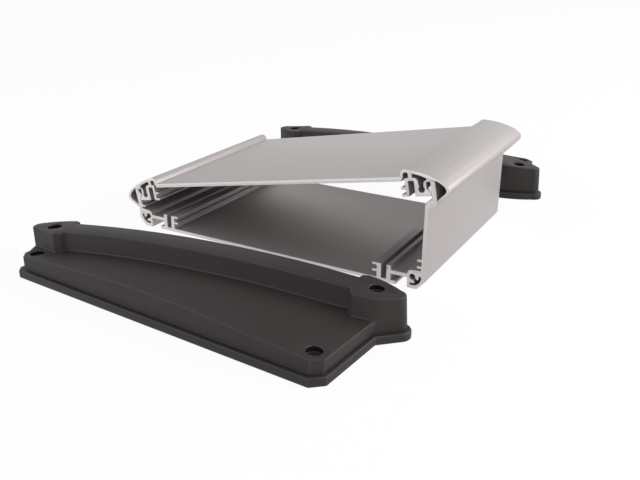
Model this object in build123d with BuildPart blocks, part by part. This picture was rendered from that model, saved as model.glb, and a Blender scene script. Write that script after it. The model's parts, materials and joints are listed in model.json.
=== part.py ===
from build123d import *
import os
from math import cos, radians, sin

# Console enclosure, taken apart: an extruded aluminium body in two interlocking
# profiles, and the two moulded end covers that lie before it and behind it.
# Lengths are in millimetres. X runs from the low front to the tall rear, Y along
# the extrusion, Z up. The origin is the middle of the body's base.

# Driving sizes of the body.
BODY_LENGTH = 100.0
LOWER_WIDTH = 158.5
FRONT_WALL_TOP = 9.27
REAR_LEDGE_RISE = 3.74
PANEL_SLOPE = 10.65
PANEL_SHIFT = -0.45
WALL = 1.9
FLOOR = 1.6
SHEET = 1.9
BOARD_SLOT = 2.0
RIB = 1.1

# Screw channels: the upper ones hang in the rims, the lower ones fill the corners.
UPPER_BORE = (10.05, -5.5)
UPPER_BORE_R = 1.4
CORNER = 8.1
CORNER_TOP = 8.4
LOWER_BORE = (5.75, 5.5)
LOWER_BORE_R = 1.35
CORNER_FOOT = 4.0
WEB_BOTTOM = 4.7
WEB_TOP = 6.4
WEB_END = 17.0
POST_TOP = 8.4
OUTER_POST = 15.9
INNER_POST = 20.5
POST_THICK = 2.1
GUIDE_RIB_END = 24.8
FLOOR_FROM = 13.4
FLOOR_LAP = 4.0
WALL_RIB_TOP = 11.0

# The joint between the two profiles: a strut with a knob, under the rim's foot.
HOOK_GAP = 0.1
KNOB = (14.2, -5.4)
KNOB_R = 1.25
STRUT_IN = 14.05
STRUT_OUT = 16.2
RIM_UNDERSIDE = -2.35
LEDGE_TOP = -8.9
LEDGE_BOTTOM = -9.9
LEG_END = -8.4
NOSE_END = -12.0

# End covers: a collar that laps the body's end, a groove, and a crowned outer face
# with a raised band along the panel and a block at each end of the band.
CORNER_CUT = 3.6
COLLAR_TOE_CUT = 1.6
FRONT_SQUEEZE = 0.86
SQUEEZE_ABOUT = 12.0
COLLAR_OUT = 1.8
COLLAR_TOP = 3.7
COLLAR_ROUND = 0.7
COLLAR_LAP = 3.0
LAP_GAP = 0.3
GROOVE_OUT = -0.4
GROOVE_TOP = 4.3
SHELL_OUT = 0.4
SKIN = 2.0
STOP_IN = 2.0
BAND_TOP = 21.4
BAND_DROP = 8.8
CROWN = 3.1
CROWN_HALF = 82.0
CROWN_MIDDLE = -4.75
BAND_EDGE = -10.7
REAR_BLOCK = [(0.8, BAND_EDGE), (1.2, -13.3), (3.4, -15.6), (12.6, -14.5)]
FRONT_BLOCK = [(0.8, BAND_EDGE), (1.3, -12.6), (3.6, -14.3), (18.9, -9.2)]
BLOCK_ROUND = 0.8
COUNTERBORE_R = 3.2
COUNTERBORE_DEPTH = 2.4
SCREW_HOLE_R = 1.7
BOSS_R = 5.0

# Where the loose covers lie: sideways, clear of the body's end, and turned.
NEAR_SIDE, NEAR_AWAY, NEAR_TURN = (-2.26, 80.6, -4.23)
FAR_SIDE, FAR_AWAY, FAR_TURN = (-5.0, 76.4, 9.0)

# Values that follow from the sizes above.
SLOPE_COS = cos(radians(PANEL_SLOPE))
SLOPE_SIN = sin(radians(PANEL_SLOPE))
REAR = LOWER_WIDTH / 2
FRONT = -REAR
RIM_REACH = (REAR + PANEL_SHIFT - NOSE_END * SLOPE_SIN) / SLOPE_COS
RECESS_HALF = RIM_REACH - STRUT_OUT
PANEL_HEIGHT = FRONT_WALL_TOP + RIM_REACH * SLOPE_SIN - NOSE_END * SLOPE_COS
PLATE_TOP = BAND_TOP - BAND_DROP
OUTSIDE = 2 * LOWER_WIDTH
SECTION = Plane(origin=(0, -BODY_LENGTH / 2, 0), x_dir=(1, 0, 0), z_dir=(0, -1, 0))


def tilted(along, up):
    """A point given along and above the sloped panel, as x and height in the section."""
    x = PANEL_SHIFT + along * SLOPE_COS - up * SLOPE_SIN
    height = PANEL_HEIGHT + along * SLOPE_SIN + up * SLOPE_COS
    return (x, height)


def rim(side, points):
    """Points measured outward from the recess's end: side 1 is the rear rim, -1 the front."""
    return [tilted(side * (RECESS_HALF + out), up) for out, up in points]


def patch(points, mode=Mode.ADD):
    """A flat polygon, kept where its points are."""
    Polygon(*points, align=None, mode=mode)


def rim_blank(side):
    """The outside of a rim, from the foot of its step over the crest and round the nose."""
    step = rim(side, [(1.0, 0.0), (1.0, 1.8), (2.5, 3.0), (3.7, 3.15)])
    top = rim(side, [(3.7, 3.15), (7.4, 2.35), (11.4, 1.2), (15.6, -0.6), (19.2, -2.6), (21.0, -4.2)])
    tip = rim(side, [(21.0, -4.2), (22.0, -6.3), (21.2, -8.15)])
    close = rim(side, [(STRUT_OUT, NOSE_END), (STRUT_OUT, LEG_END), (-2.0, LEG_END), (-2.0, 0.0)])
    with BuildLine() as edge:
        Polyline(*step)
        Spline(*top)
        ThreePointArc(*tip)
        Polyline(tip[2], *close, step[0])
    make_face(edge.edges())


def cut_rim(side):
    """The hollows of one rim: under the panel, the guide, the funnel, the nose and the bore."""
    below_panel = [(-3, -SHEET), (1.1, -SHEET), (1.9, -1.1), (2.4, -0.4), (2.4, 1.2), (3.2, 1.8),
                   (4.7, 1.6), (4.7, -0.6), (2.95, -0.6), (2.95, -9), (-3, -9)]
    guide_slot = [(4.4, -9), (4.4, -1.8), (7.0, -1.8), (7.0, -9)]
    funnel = [(6.4, -0.5), (6.4, 1.1), (7.2, 1.1), (10.6, 0.05), (12.7, -1.0), (12.5, -1.6),
              (11.3, -2.3), (11.0, -4.0), (10.75, -5.5), (9.35, -5.5), (8.9, -3.6), (8.7, -1.6),
              (8.0, -0.6)]
    nose = [(12.3, RIM_UNDERSIDE), (STRUT_OUT, RIM_UNDERSIDE), (16.5, -2.0), (18.2, -3.1),
            (19.9, -4.6), (20.7, -6.1), (20.3, -7.4), (18.4, -8.8), (STRUT_OUT, NOSE_END + 1.5),
            (STRUT_OUT, -13), (12.3, -13)]
    for hollow in (below_panel, guide_slot, funnel, nose):
        patch(rim(side, hollow), Mode.SUBTRACT)
    with Locations(rim(side, [UPPER_BORE])[0]):
        Circle(UPPER_BORE_R, mode=Mode.SUBTRACT)


def fill_rim(side):
    """The boss's foot, seated under the knob, and the ribs that hold a board's edge."""
    edge = STRUT_IN - HOOK_GAP
    patch(rim(side, [(11.5, LEG_END), (edge, LEG_END), (edge, -5.9), (12.95, -5.9), (12.4, -5.3),
                     (11.5, -5.3)]))
    with Locations(rim(side, [KNOB])[0]):
        Circle(KNOB_R + HOOK_GAP, mode=Mode.SUBTRACT)
    for top in (-4.3, -4.3 - RIB - BOARD_SLOT):
        patch(rim(side, [(1.0, top), (3.2, top), (3.2, top - RIB), (1.0, top - RIB)]))


def strut(side):
    """The upright edge of the lower profile, with the knob that the upper one hooks over."""
    patch(rim(side, [(STRUT_IN + 0.15, RIM_UNDERSIDE), (STRUT_OUT, RIM_UNDERSIDE),
                     (STRUT_OUT, -9.0), (STRUT_IN, -9.0), (STRUT_IN, KNOB[1])]))
    with Locations(rim(side, [KNOB])[0]):
        Circle(KNOB_R)


def corner(x, side, wall_ribs):
    """A corner block, its web and the guide posts. side points inward from the wall's outside."""
    def place(points):
        return [(x + side * inward, up) for inward, up in points]

    patch(place([(0, CORNER_FOOT), (CORNER_CUT, 0), (CORNER, 0), (CORNER, CORNER_TOP - 1),
                 (CORNER - 1, CORNER_TOP), (WALL, CORNER_TOP + 0.6), (0, CORNER_TOP + 0.6)]))
    patch(place([(CORNER - 0.5, WEB_BOTTOM), (WEB_END, WEB_BOTTOM), (WEB_END, WEB_TOP),
                 (CORNER - 0.5, WEB_TOP)]))
    floor_end = INNER_POST - 0.5 + FLOOR_LAP
    patch(place([(FLOOR_FROM, 0), (floor_end, 0), (floor_end, FLOOR), (FLOOR_FROM, FLOOR)]))
    for near in (OUTER_POST, INNER_POST):
        far = near + POST_THICK
        patch(place([(near, 1), (far, 1), (far, POST_TOP), (near, POST_TOP)]))
    start = INNER_POST + 1.5
    for top in (POST_TOP, POST_TOP - RIB - BOARD_SLOT):
        patch(place([(start, top), (GUIDE_RIB_END, top), (GUIDE_RIB_END, top - RIB), (start, top - RIB)]))
    for level in range(wall_ribs):
        top = WALL_RIB_TOP + level * (RIB + BOARD_SLOT)
        patch(place([(1, top), (WALL + 2, top), (WALL + 2, top - RIB), (1, top - RIB)]))


def cut_corner(x, side):
    """The open screw channel: a bore, a passage outward and a crescent round the corner."""
    centre = (x + side * LOWER_BORE[0], LOWER_BORE[1])

    def around(polar):
        return [(centre[0] - side * r * cos(radians(a)), centre[1] + r * sin(radians(a))) for r, a in polar]

    with Locations(centre):
        Circle(LOWER_BORE_R, mode=Mode.SUBTRACT)
    sweep = range(12, -114, -12)
    patch(around([(4.0, a) for a in sweep] + [(2.9, a) for a in reversed(sweep)]), Mode.SUBTRACT)
    patch(around([(0.5, 60), (3.2, -28), (3.2, -62), (0.5, 210)]), Mode.SUBTRACT)


def grown(points, out):
    """A closed outline moved outward: each side by the same distance, with its corners kept sharp."""
    moved = []
    for before, point, after in zip(points[-1:] + points[:-1], points, points[1:] + points[:1]):
        arriving = (Vector(*point) - Vector(*before)).normalized()
        leaving = (Vector(*after) - Vector(*point)).normalized()
        normal = Vector(arriving.Y + leaving.Y, -arriving.X - leaving.X)
        corner_point = Vector(*point) + normal * (out / (1 + arriving.dot(leaving)))
        moved.append((corner_point.X, corner_point.Y))
    return moved


def cover_blank(out, squeeze=1.0, toe_cut=CORNER_CUT):
    """The outside of the body's end as one closed outline, grown by out.

    The front block may be squeezed along the panel, and the front corner cut less.
    """
    nose = [(20.4, -8.8), (22.0, -6.3), (19.2, -2.6), (11.4, 1.2), (3.7, 3.15)]
    rise = nose + [(1.4, 2.2), (1.0, 0.0)]
    rear_knee = (REAR, tilted(RIM_REACH, NOSE_END)[1] - REAR_LEDGE_RISE)
    front_knee = (FRONT, FRONT_WALL_TOP - 3.3)
    foot = [(REAR - CORNER_CUT, 0), (REAR, CORNER_CUT), rear_knee]
    front_rise = [(SQUEEZE_ABOUT + (along - SQUEEZE_ABOUT) * squeeze, up) for along, up in reversed(rise)]
    toe = [front_knee, (FRONT, toe_cut), (FRONT + toe_cut, 0)]
    points = grown(foot + rim(1, rise) + rim(-1, front_rise) + toe, out)
    with BuildLine() as edge:
        Polyline(*points[:4])
        ThreePointArc(*points[3:6])
        ThreePointArc(*points[5:8])
        Polyline(*points[7:13])
        ThreePointArc(*points[12:15])
        ThreePointArc(*points[14:17])
        Polyline(*points[16:], points[0])
    make_face(edge.edges())


def crown_height(x, middle):
    """Height of a crowned face at x, where its middle stands at the given height."""
    return middle - CROWN * ((x - CROWN_MIDDLE) / CROWN_HALF) ** 2


def crowned_layer(out, low, middle, band_inset=None):
    """The cover's form from a level up to a crowned face, whole or cut down to the band."""
    ends = [CROWN_MIDDLE - CROWN_HALF * 1.3, CROWN_MIDDLE, CROWN_MIDDLE + CROWN_HALF * 1.3]
    arc = [(x, crown_height(x, middle)) for x in ends]
    with BuildPart() as layer:
        with BuildSketch(Plane.XY.offset(low)):
            cover_blank(out, FRONT_SQUEEZE)
        extrude(amount=2 * BAND_TOP)
        with BuildSketch(Plane.XZ):
            with BuildLine():
                ThreePointArc(*arc)
                Polyline(arc[2], (arc[2][0], 0), (arc[0][0], 0), arc[0])
            make_face()
        extrude(amount=OUTSIDE, both=True, mode=Mode.INTERSECT)
        if band_inset is not None:
            rear = rim(1, [(along + band_inset, up + band_inset) for along, up in REAR_BLOCK])
            front = rim(-1, [(along + band_inset, up + band_inset) for along, up in FRONT_BLOCK])
            with BuildSketch():
                with BuildLine() as edge:
                    FilletPolyline(*reversed(front), *rear, radius=BLOCK_ROUND)
                    Polyline(rear[-1], (OUTSIDE, rear[-1][1]), (OUTSIDE, OUTSIDE), (-OUTSIDE, OUTSIDE),
                             (-OUTSIDE, front[-1][1]), front[-1])
                make_face(edge.edges())
            extrude(amount=2 * BAND_TOP, mode=Mode.INTERSECT)
    return layer.part


# The upper profile: the sloped panel with a hooked, hollow rim at each end.
with BuildPart() as upper_profile:
    with BuildSketch(SECTION):
        for side in (1, -1):
            rim_blank(side)
        for side in (1, -1):
            cut_rim(side)
            fill_rim(side)
        half = RECESS_HALF + 1.6
        patch([tilted(-half, 0), tilted(half, 0), tilted(half, -SHEET), tilted(-half, -SHEET)])
    extrude(amount=BODY_LENGTH, dir=(0, 1, 0))
upper_profile.part.label = "upper_profile"

# The lower profile: the floor, the two walls with their struts, and the corner channels.
with BuildPart() as lower_profile:
    with BuildSketch(SECTION):
        half = REAR - INNER_POST + 0.5
        patch([(-half, 0), (half, 0), (half, FLOOR), (-half, FLOOR)])
        for side, wall, knee in ((1, REAR, REAR_LEDGE_RISE), (-1, FRONT, 0.3)):
            ledge = rim(side, [(STRUT_OUT, NOSE_END), (STRUT_OUT, LEDGE_TOP), (STRUT_IN, LEDGE_TOP),
                               (STRUT_IN, LEDGE_BOTTOM)])
            inner = wall - side * WALL
            patch([(wall, CORNER_FOOT), (wall, ledge[0][1] - knee), *ledge,
                   (inner, ledge[3][1] - 0.6 * knee), (inner, CORNER_FOOT)])
            strut(side)
        for wall, inward, wall_ribs in ((REAR, -1, 2), (FRONT, 1, 1)):
            corner(wall, inward, wall_ribs)
            cut_corner(wall, inward)
    extrude(amount=BODY_LENGTH, dir=(0, 1, 0))
lower_profile.part.label = "lower_profile"

# One end cover, lying on its open side with its outer face up.
upper_places = rim(1, [UPPER_BORE]) + rim(-1, [UPPER_BORE])
lower_places = [(REAR - LOWER_BORE[0], LOWER_BORE[1]), (FRONT + LOWER_BORE[0], LOWER_BORE[1])]
screws = [Vector(x, up, crown_height(x, BAND_TOP)) for x, up in upper_places]
screws += [Vector(x, up, crown_height(x, PLATE_TOP)) for x, up in lower_places]
plate = crowned_layer(SHELL_OUT, GROOVE_TOP, PLATE_TOP)
band = crowned_layer(SHELL_OUT, GROOVE_TOP, BAND_TOP, 0)
plate_hollow = crowned_layer(-STOP_IN, COLLAR_LAP - 0.5, PLATE_TOP - SKIN)
band_hollow = crowned_layer(-STOP_IN, COLLAR_LAP - 0.5, BAND_TOP - SKIN, SKIN)

with BuildPart() as hollow:
    add(plate_hollow)
    add(band_hollow)
    for screw in screws:
        with Locations((screw.X, screw.Y, screw.Z / 2)):
            Cylinder(BOSS_R, screw.Z, mode=Mode.SUBTRACT)

with BuildPart() as cover:
    with BuildSketch():
        cover_blank(COLLAR_OUT, toe_cut=COLLAR_TOE_CUT)
    extrude(amount=COLLAR_TOP - COLLAR_ROUND)
    for step in range(2):
        for turn in (radians(45 * step), radians(45 * (step + 1))):
            with BuildSketch(Plane.XY.offset(COLLAR_TOP - COLLAR_ROUND * (1 - sin(turn)))):
                cover_blank(COLLAR_OUT - COLLAR_ROUND * (1 - cos(turn)), toe_cut=COLLAR_TOE_CUT)
        loft(ruled=True)
    with BuildSketch(Plane.XY.offset(COLLAR_LAP)):
        cover_blank(GROOVE_OUT)
    extrude(amount=GROOVE_TOP - COLLAR_LAP)
    add(plate)
    add(band)
    with BuildSketch():
        cover_blank(LAP_GAP)
    extrude(amount=COLLAR_LAP, mode=Mode.SUBTRACT)
    add(hollow.part, mode=Mode.SUBTRACT)
    with Locations(*screws):
        CounterBoreHole(SCREW_HOLE_R, COUNTERBORE_R, COUNTERBORE_DEPTH, depth=BAND_TOP)
        Cylinder(COUNTERBORE_R, 2 * COUNTERBORE_DEPTH, mode=Mode.SUBTRACT)

with BuildPart() as near_end_cover:
    with Locations(Location((NEAR_SIDE, -BODY_LENGTH / 2 - NEAR_AWAY, 0), (0, 0, NEAR_TURN))):
        add(cover.part)
near_end_cover.part.label = "near_end_cover"

with BuildPart() as far_end_cover:
    with Locations(Location((FAR_SIDE, BODY_LENGTH / 2 + FAR_AWAY, 0), (0, 0, FAR_TURN))):
        add(mirror(cover.part, about=Plane.XZ, mode=Mode.PRIVATE))
far_end_cover.part.label = "far_end_cover"

os.makedirs("parts", exist_ok=True)
export_step(upper_profile.part, "parts/upper_profile.step")
export_step(lower_profile.part, "parts/lower_profile.step")
export_step(near_end_cover.part, "parts/near_end_cover.step")
export_step(far_end_cover.part, "parts/far_end_cover.step")
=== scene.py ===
"""A sloping console enclosure, taken apart: its aluminium body and its two moulded end covers.

Lengths are in metres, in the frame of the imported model: X from the low front to the tall rear,
Y along the extrusion, Z up, with the origin in the middle of the body's base.
"""

import json
import math

import bmesh
import bpy
from mathutils import Matrix, Vector


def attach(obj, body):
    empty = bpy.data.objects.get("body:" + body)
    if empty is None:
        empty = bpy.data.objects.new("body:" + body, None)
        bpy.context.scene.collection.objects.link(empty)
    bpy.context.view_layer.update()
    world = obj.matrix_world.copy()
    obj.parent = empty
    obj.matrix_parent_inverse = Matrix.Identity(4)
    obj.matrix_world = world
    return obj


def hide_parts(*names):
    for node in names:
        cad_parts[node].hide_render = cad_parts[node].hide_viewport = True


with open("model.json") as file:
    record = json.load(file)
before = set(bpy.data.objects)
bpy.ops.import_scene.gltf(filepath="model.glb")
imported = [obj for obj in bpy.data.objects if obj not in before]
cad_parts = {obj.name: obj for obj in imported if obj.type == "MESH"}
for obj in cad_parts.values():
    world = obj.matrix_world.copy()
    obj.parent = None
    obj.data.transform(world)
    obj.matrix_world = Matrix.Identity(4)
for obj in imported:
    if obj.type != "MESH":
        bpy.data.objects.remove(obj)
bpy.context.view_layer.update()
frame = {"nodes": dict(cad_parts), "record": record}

SCENE = bpy.context.scene
MM = 0.001

# The photograph's viewpoint: place in metres, angles in degrees, lens in millimetres.
CAMERA_PLACE = (0.18472, -0.32403, 0.14366)
CAMERA_TILT = 67.52
CAMERA_TURN = 29.74
CAMERA_ROLL = 0.11
LENS = 42.68
SENSOR_WIDTH = 36.0

# Rounded edges. An edge that turns by less than SHARP stays as it is, and a rounding takes no
# more than ROOM_SHARE of the sides that leave its edge. Two cosines tell things apart: a side
# from the same edge carried on (IN_LINE), and a sawn end from the drawn faces (SAWN_FACING).
SHARP = math.radians(25)
SMOOTH_BELOW = math.radians(35)
DIE_EDGE = 0.22 * MM
SAWN_EDGE = 0.07 * MM
MOULDED_EDGE = 0.4 * MM
ROOM_SHARE = 0.4
ROUNDING_STEPS = 2
SAWN_FACING = 0.9
IN_LINE = 0.8

# How the solids' meshes are cleaned: what merges, and what counts as flat.
MERGE_WITHIN = 0.002 * MM
FLAT_WITHIN = math.radians(0.5)

# The covers' faces are crowned more than the solids' are: by CROWN_RISE in the middle and
# less towards the ends, in full above CROWN_WHOLE_AT and not at all below WALL_FOOT.
CROWN_RISE = 1.45 * MM
CROWN_FALL = 2.4 * MM
CROWN_HALF = 82.0 * MM
CROWN_MIDDLE = -4.75 * MM
CROWN_SOFTNESS = 0.2 * MM
WALL_FOOT = 4.5 * MM
CROWN_WHOLE_AT = 8.5 * MM

# The tall screw block narrows towards its top, about its screw hole.
BLOCK_TOP = 19.0 * MM
BLOCK_DRAFT = 0.07
BLOCK_FROM = 60.0 * MM
BLOCK_WHOLE_AT = 66.0 * MM
TALL_SCREW = (75.5 * MM, 45.0 * MM)

# The sharp corner of the tall block's inner wall, and how far it moves along the cover's end.
CORNER = (80.4 * MM, 36.6 * MM)
CORNER_REACH = 0.35 * MM
CORNER_SHIFT = (0.8 * MM, 0.87 * MM)

# What lies within this distance of a screw hole's axis belongs to the hole.
HOLE_REACH = 3.3 * MM

# The moulded plastic: its material slots on a cover (a painted highlight on the rounded edges, painted
# shade in the screw holes), how red its grey is, and its texture's depth.
PAINTED_HIGHLIGHT_SLOT = 1
PAINTED_SHADE_SLOT = 2
PLASTIC_WARMTH = 3.5
EROSION_DEPTH = 0.04 * MM

# How deep the aluminium's die lines and saw marks are, and half the length of the table.
LINE_DEPTH = 0.02 * MM
TABLE_HALF = 3.0


class Wire:
    """A shader socket on which arithmetic can be written."""

    def __init__(self, tree, socket):
        self.tree = tree
        self.socket = socket

    def _math(self, operation, *values):
        return self.tree.node("ShaderNodeMath", {"operation": operation}, dict(enumerate(values)))

    def __add__(self, other):
        return self._math("ADD", self, other)

    def __radd__(self, other):
        return self._math("ADD", other, self)

    def __sub__(self, other):
        return self._math("SUBTRACT", self, other)

    def __rsub__(self, other):
        return self._math("SUBTRACT", other, self)

    def __mul__(self, other):
        return self._math("MULTIPLY", self, other)

    def __rmul__(self, other):
        return self._math("MULTIPLY", other, self)

    def either(self, other):
        """The larger of the two."""
        return self._math("MAXIMUM", self, other)

    def over(self, low, high):
        """0 below low, 1 above high and a smooth rise between them."""
        settings = {"interpolation_type": "SMOOTHSTEP"}
        values = {"Value": self, "From Min": low, "From Max": high}
        return self.tree.node("ShaderNodeMapRange", settings, values)


class Finish:
    """A node tree, of one material or of the world, and its surface shader."""

    def __init__(self, name, owner=None, shader="Principled BSDF"):
        self.material = owner or bpy.data.materials.new(name)
        self.material.use_nodes = True
        self.nodes = self.material.node_tree.nodes
        self.links = self.material.node_tree.links
        self.shader = self.nodes[shader]

    def node(self, kind, settings=None, values=None, output=0):
        """Adds a node: its settings first, then the values or links of its sockets."""
        made = self.nodes.new(kind)
        for key, value in (settings or {}).items():
            setattr(made, key, value)
        for key, value in (values or {}).items():
            self.feed(made.inputs[key], value)
        return Wire(self, made.outputs[output])

    def feed(self, socket, value):
        """Sets a socket to a value, or links it."""
        if isinstance(value, Wire):
            self.links.new(value.socket, socket)
        else:
            socket.default_value = value

    def surface(self, **values):
        """Sets the surface shader's sockets. Spaces in a socket's name are written as underscores."""
        for key, value in values.items():
            self.feed(self.shader.inputs[key.replace("_", " ")], value)

    def noise(self, scale, stretch=(1, 1, 1), detail=2.0, roughness=0.5):
        """Noise about 0.5 on Object coordinates, with a scale in waves a metre."""
        coordinates = self.node("ShaderNodeTexCoord", output="Object")
        place = self.node("ShaderNodeMapping", None, {"Vector": coordinates, "Scale": stretch})
        values = {"Vector": place, "Scale": scale, "Detail": detail, "Roughness": roughness}
        return self.node("ShaderNodeTexNoise", None, values)

    def blend(self, factor, first, second):
        """One colour over another."""
        settings = {"data_type": "RGBA"}
        return self.node("ShaderNodeMix", settings, {0: factor, 6: first, 7: second}, output=2)

    def facing(self, axis):
        """How far the surface faces along an axis, 0 to 1, either way."""
        normal = self.node("ShaderNodeNewGeometry", output="Normal")
        part = self.node("ShaderNodeSeparateXYZ", None, {0: normal}, output=axis)
        return self.node("ShaderNodeMath", {"operation": "ABSOLUTE"}, {0: part})

    def bump(self, height, distance):
        """Relief of a real height in metres."""
        values = {"Height": height, "Distance": distance, "Strength": 1.0}
        self.surface(Normal=self.node("ShaderNodeBump", None, values))

    def white_to_sight(self):
        """1 for what the camera sees straight, mirrored or through something clear, 0 for light."""
        seen = self.node("ShaderNodeLightPath", output="Is Camera Ray")
        mirrored = self.node("ShaderNodeLightPath", output="Is Glossy Ray")
        through = self.node("ShaderNodeLightPath", output="Is Transmission Ray")
        return seen.either(mirrored).either(through)


def warm_grey(value, warmth=1.0):
    """A grey with a little red in it."""
    red = value * (1 + 0.04 * warmth)
    rest = value * (1 - 0.015 * warmth)
    return (red, rest, rest, 1.0)


def anodised_aluminium():
    """Clear satin anodising over die lines, and bare sawn ends."""
    finish = Finish("anodised_aluminium")
    die_lines = finish.noise(1500, (1, 0.004, 1), 3.0, 0.6)
    grain = finish.noise(9000, (1, 0.25, 1), 2.0)
    cloud = finish.noise(22, (1, 0.5, 1), 2.0)
    sawn = finish.facing("Y").over(SAWN_FACING, 0.97)
    saw_marks = finish.noise(2600, (0.08, 1, 1), 2.0, 0.6)
    tone = 0.35 + 0.4 * die_lines + 0.3 * cloud
    skin = finish.blend(tone, warm_grey(0.37), warm_grey(0.43))
    bare = finish.blend(saw_marks, warm_grey(0.56), warm_grey(0.72))
    finish.surface(Base_Color=finish.blend(sawn, skin, bare), Metallic=0.8)
    finish.surface(Roughness=0.46 + 0.1 * grain + 0.06 * sawn)
    finish.bump((1 - sawn) * (die_lines * 0.6 + grain * 0.4) + sawn * saw_marks, LINE_DEPTH)
    return finish.material


def graphite_plastic(name, shade, gloss=0.0, sheen=0.3):
    """Moulded housing plastic with a fine eroded texture."""
    finish = Finish(name)
    erosion = finish.noise(3200, (1, 1, 1), 3.0, 0.6)
    cloud = finish.noise(35)
    dark, light = [warm_grey(share * shade, PLASTIC_WARMTH) for share in (0.88, 1.12)]
    finish.surface(Base_Color=finish.blend(cloud, dark, light))
    finish.surface(Roughness=0.6 - gloss + 0.16 * erosion, Specular_IOR_Level=sheen)
    finish.bump(erosion, EROSION_DEPTH)
    return finish.material


def room_beside(edge):
    """The shortest side that leaves an edge at its ends, within which its rounding has to stay."""
    along = (edge.verts[1].co - edge.verts[0].co).normalized()
    sides = []
    for vertex in edge.verts:
        for other in vertex.link_edges:
            across = other.other_vert(vertex).co - vertex.co
            if other is not edge and abs(across.normalized().dot(along)) < IN_LINE:
                sides.append(across.length)
    return min(sides, default=edge.calc_length())


class LyingCover:
    """A cover's own axes as it lies: along its length, and across it towards its band.

    x and y are its place in millimetres, turn is in degrees, and side is -1 where it is mirrored.
    """

    def __init__(self, x, y, turn, side):
        self.middle = Vector((x * MM, y * MM))
        self.along = Vector((math.cos(math.radians(turn)), math.sin(math.radians(turn))))
        self.across = side * Vector((-self.along.y, self.along.x))

    def own(self, point):
        """A point's place along and across the cover."""
        step = point.xy - self.middle
        return step.dot(self.along), step.dot(self.across)

    def shift(self, point, along, across):
        """Moves a point along and across the cover."""
        point.xy = point.xy + along * self.along + across * self.across


def ramp(value, low, high):
    """0 below low, 1 above high and straight between them."""
    return min(1, max(0, (value - low) / (high - low)))


def crown(shape, cover):
    """Lifts a lying cover's faces to their full crown, from the foot of its walls up."""
    for vertex in shape.verts:
        along, across = cover.own(vertex.co)
        rise = CROWN_RISE - CROWN_FALL * ((along - CROWN_MIDDLE) / CROWN_HALF) ** 2
        # Near the ends the rise fades out softly, where it would otherwise turn into a fall.
        rise = (rise + math.hypot(rise, CROWN_SOFTNESS)) / 2
        vertex.co.z += rise * ramp(vertex.co.z, WALL_FOOT, CROWN_WHOLE_AT)


def taper_tall_block(shape, cover):
    """Spreads the corner of the tall block's inner wall over two bends, and narrows the block."""
    for vertex in shape.verts:
        place = Vector(cover.own(vertex.co))
        if vertex.co.z > CROWN_WHOLE_AT and (place - Vector(CORNER)).length < CORNER_REACH:
            cover.shift(vertex.co, *CORNER_SHIFT)
        share = ramp(vertex.co.z, WALL_FOOT, BLOCK_TOP) * ramp(place.x, BLOCK_FROM, BLOCK_WHOLE_AT)
        outward = place - Vector(TALL_SCREW)
        cover.shift(vertex.co, *(-BLOCK_DRAFT * share * outward))


def paint_shade_in_holes(shape, holes):
    """Gives the screw holes' walls and floors a material slot of their own, which is painted
    near-black as the holes' shade.
    """
    for face in shape.faces:
        middle = face.calc_center_median()
        beside = min((middle.xy - hole.xy).length for hole in holes)
        if beside < HOLE_REACH and face.calc_area() < math.pi * HOLE_REACH ** 2:
            face.material_index = PAINTED_SHADE_SLOT


def merged(node):
    """A copy of a CAD piece's mesh, with its doubles merged and its flat faces whole."""
    shape = bmesh.new()
    shape.from_mesh(frame["nodes"][node].data)
    bmesh.ops.remove_doubles(shape, verts=shape.verts, dist=MERGE_WITHIN)
    bmesh.ops.dissolve_limit(shape, angle_limit=FLAT_WITHIN, verts=shape.verts, edges=shape.edges)
    return shape


def at_saw_cut(edge):
    """Whether an extrusion's edge borders one of its two sawn ends."""
    return max(abs(face.normal.y) for face in edge.link_faces) > SAWN_FACING


def softened(name, node, shape, radius, finishes, sawn_radius=None, edge_slot=0):
    """Makes a piece of a shape, with its sharp edges slightly rounded, that stands for a CAD piece."""
    weights = shape.edges.layers.float.new("bevel_weight_edge")
    for edge in shape.edges:
        if edge.calc_face_angle(0) < SHARP:
            continue
        wanted = sawn_radius if sawn_radius and at_saw_cut(edge) else radius
        edge[weights] = min(wanted, ROOM_SHARE * room_beside(edge)) / radius
    mesh = bpy.data.meshes.new(name)
    shape.to_mesh(mesh)
    shape.free()
    for finish in finishes:
        mesh.materials.append(finish)
    piece = bpy.data.objects.new(name, mesh)
    SCENE.collection.objects.link(piece)
    bevel = piece.modifiers.new("rounded_edges", "BEVEL")
    bevel.limit_method = "WEIGHT"
    bevel.width = radius
    bevel.segments = ROUNDING_STEPS
    bevel.use_clamp_overlap = False
    bevel.miter_outer = "MITER_ARC"
    # The rounded faces take the edge slot; on a cover that slot holds the edges' painted highlight.
    bevel.material = edge_slot
    finished = piece.evaluated_get(bpy.context.evaluated_depsgraph_get())
    made = bpy.data.meshes.new_from_object(finished)
    piece.modifiers.clear()
    piece.data = made
    made.name = name
    made.shade_smooth()
    made.set_sharp_from_angle(angle=SMOOTH_BELOW)
    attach(piece, "root")
    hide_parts(node)


def extrusion(name, node):
    """One aluminium extrusion: fine die edges, and finer ones at the saw cuts."""
    softened(name, node, merged(node), DIE_EDGE, [ALUMINIUM], SAWN_EDGE)


def moulded_cover(name, node, hole_names, lying):
    """One lying cover: crowned, narrowed at its tall block, with a painted highlight on its rounded
    edges and painted shade in its screw holes.
    """
    shape = merged(node)
    mounts = [mount for mount in frame["record"]["mounts"] if mount["name"].startswith(hole_names)]
    paint_shade_in_holes(shape, [Vector(mount["pos_m"]) for mount in mounts])
    taper_tall_block(shape, lying)
    crown(shape, lying)
    shape.normal_update()
    softened(name, node, shape, MOULDED_EDGE, PLASTICS, edge_slot=PAINTED_HIGHLIGHT_SLOT)


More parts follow.
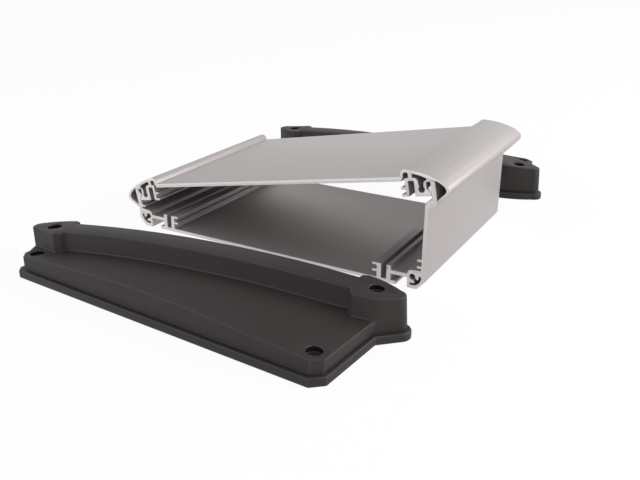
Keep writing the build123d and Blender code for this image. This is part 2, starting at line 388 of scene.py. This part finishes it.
def camera():
    """The photograph's viewpoint."""
    data = bpy.data.cameras.new("camera")
    data.lens = LENS
    data.sensor_width = SENSOR_WIDTH
    data.clip_start = 0.01
    made = bpy.data.objects.new("camera", data)
    made.location = CAMERA_PLACE
    turns = ((CAMERA_TURN, "Z"), (CAMERA_TILT, "X"), (CAMERA_ROLL, "Z"))
    turn, tilt, roll = [Matrix.Rotation(math.radians(angle), 3, axis) for angle, axis in turns]
    made.rotation_euler = (turn @ tilt @ roll).to_euler()
    SCENE.collection.objects.link(made)
    SCENE.camera = made


def lamp(name, place, aim, size, power, colour):
    """A soft rectangular lamp at a place, turned to an aim."""
    data = bpy.data.lights.new(name, "AREA")
    data.shape = "RECTANGLE"
    data.size, data.size_y = size
    data.energy = power
    data.color = colour
    made = bpy.data.objects.new(name, data)
    made.location = place
    made.rotation_euler = (Vector(aim) - Vector(place)).to_track_quat("-Z", "Y").to_euler()
    SCENE.collection.objects.link(made)


def white_surround():
    """A white room: plain white to sight, and as light brightest low down and in front."""
    world = bpy.data.worlds.new("white_surround")
    SCENE.world = world
    sky = Finish("white_surround", world, "Background")
    direction = {0: sky.node("ShaderNodeTexCoord", output="Generated")}
    right, back, height = [sky.node("ShaderNodeSeparateXYZ", None, direction, axis) for axis in "XYZ"]
    glow = 0.84 - 0.3 * back + 0.05 * right - 0.6 * height.over(0.05, 0.8)
    sight = sky.white_to_sight()
    sky.surface(Color=(1, 1, 1, 1), Strength=sight + (1 - sight) * glow)


def table():
    """The white table, which keeps a faint shadow of what stands on it."""
    corners = [(x * TABLE_HALF, y * TABLE_HALF, 0) for x, y in ((-1, -1), (1, -1), (1, 1), (-1, 1))]
    mesh = bpy.data.meshes.new("table")
    mesh.from_pydata(corners, [], [(0, 1, 2, 3)])
    made = bpy.data.objects.new("table", mesh)
    made.location = (0, 0, -0.1 * MM)
    SCENE.collection.objects.link(made)
    finish = Finish("white_table")
    finish.surface(Base_Color=(0.9, 0.9, 0.9, 1), Roughness=0.9, Specular_IOR_Level=0.1)
    plain = finish.node("ShaderNodeEmission", None, {"Color": (1, 1, 1, 1), "Strength": 1.03})
    lit = Wire(finish, finish.shader.outputs[0])
    sight = finish.white_to_sight() * 0.9
    mixed = finish.node("ShaderNodeMixShader", None, {0: sight, 1: lit, 2: plain})
    finish.feed(finish.nodes["Material Output"].inputs["Surface"], mixed)
    mesh.materials.append(finish.material)


camera()
ALUMINIUM = anodised_aluminium()
PLASTICS = [
    graphite_plastic("graphite_plastic", shade=0.02, gloss=0.1),
    # A lighter, glossier plastic for the rounded edges: a painted highlight, where the edges catch the
    # light.
    graphite_plastic("edges_painted_highlight", shade=0.03, gloss=0.2),
    # A near-black, barely shiny plastic for the screw holes: painted shade, where the deep bores fall
    # into shadow.
    graphite_plastic("screw_holes_painted_shade", shade=0.003, sheen=0.1),
]
extrusion("panel_extrusion", "upper_profile")
extrusion("base_extrusion", "lower_profile")
NEAR_COVER = LyingCover(x=-2.26, y=-130.6, turn=-4.23, side=1)
FAR_COVER = LyingCover(x=-5.0, y=126.4, turn=9.0, side=-1)
moulded_cover("near_moulded_cover", "near_end_cover", "near_cover_", NEAR_COVER)
moulded_cover("far_moulded_cover", "far_end_cover", "far_cover_", FAR_COVER)
lamp("left_front", place=(-0.5, -0.8, 0.35), aim=(0, 0, 0.02), size=(0.8, 0.6), power=2.4,
     colour=(1, 0.98, 0.96))
lamp("right", place=(0.8, 0.1, 0.35), aim=(0.08, 0, 0.03), size=(0.6, 0.6), power=5.0,
     colour=(1, 0.95, 0.92))
lamp("far_right", place=(0.6, 0.9, 0.6), aim=(0.08, 0, 0.05), size=(1.4, 1.0), power=3.4,
     colour=(1, 0.97, 0.95))
white_surround()
table()
SCENE.view_settings.view_transform = "Standard"
